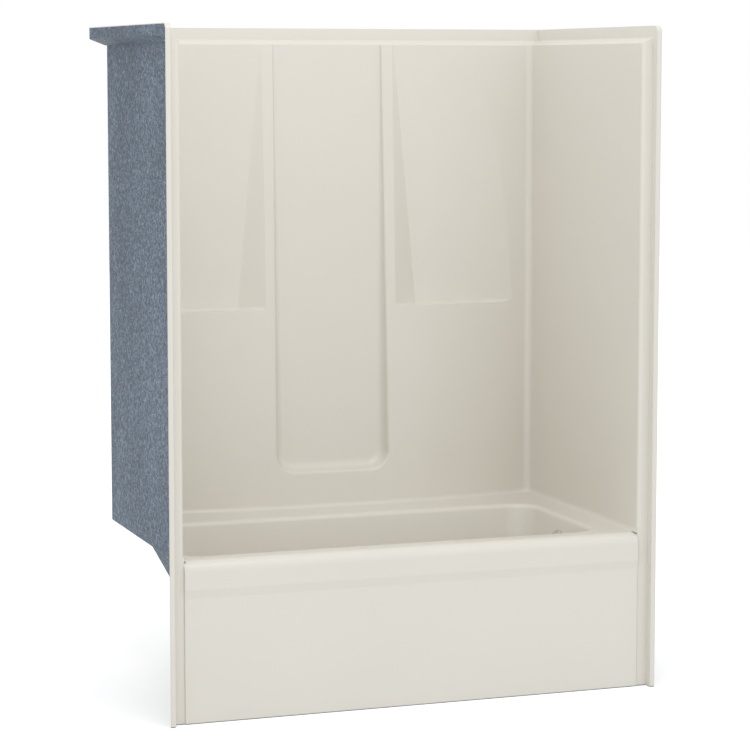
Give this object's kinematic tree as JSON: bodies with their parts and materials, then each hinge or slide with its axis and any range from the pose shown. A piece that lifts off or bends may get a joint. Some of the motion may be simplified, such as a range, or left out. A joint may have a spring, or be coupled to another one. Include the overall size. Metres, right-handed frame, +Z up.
{
  "type": "tub and shower unit",
  "caption": "Moulded alcove tub and shower with a three-sided surround, tall back recess, shelf niches, front apron, drain with rising stopper, and overflow.",
  "frame": {"origin": "middle of the footprint of the outer lip, on the floor", "axes": "+X to the right seen from the open front, towards the drain end, +Y from the open front to the back wall, +Z up"},
  "size_m": [1.391, 0.838, 1.829],
  "materials": {
    "acrylic": "gloss cream acrylic",
    "fibreglass": "rough blue-grey fibreglass laminate",
    "board": "raw board",
    "chrome": "polished chrome",
    "brass": "bare brass",
    "rubber": "black rubber",
    "pipe": "white pipe plastic"
  },
  "bodies": {
    "unit": {"acrylic_liner": "acrylic", "back_wall_laminate": "fibreglass", "left_wall_laminate": "fibreglass", "right_wall_laminate": "fibreglass", "tub_laminate": "fibreglass", "apron_laminate": "fibreglass", "floor_core_board": "board", "base_runner_left": "board", "base_runner_middle": "board", "base_runner_right": "board", "apron_board": "board", "rim_rail": "board", "drain_flange": "chrome", "stopper_guide": "brass", "drain_gasket": "rubber", "drain_shoe": "pipe", "waste_tee": "pipe", "overflow_elbow": "pipe", "overflow_gasket": "rubber", "overflow_plate": "chrome", "overflow_screws": "chrome", "slip_nuts": "pipe", "slip_washers": "rubber", "waste_tube": "pipe", "overflow_tube": "pipe", "tailpiece": "pipe"},
    "stopper": {"stopper_cap": "chrome", "stopper_seal": "rubber", "stopper_stem": "brass"}
  },
  "joints": [
    {"name": "stopper_lift", "type": "slide", "parent": "unit", "child": "stopper", "axis": [0, 0, 1], "range_m": [0, 0.009]}
  ]
}
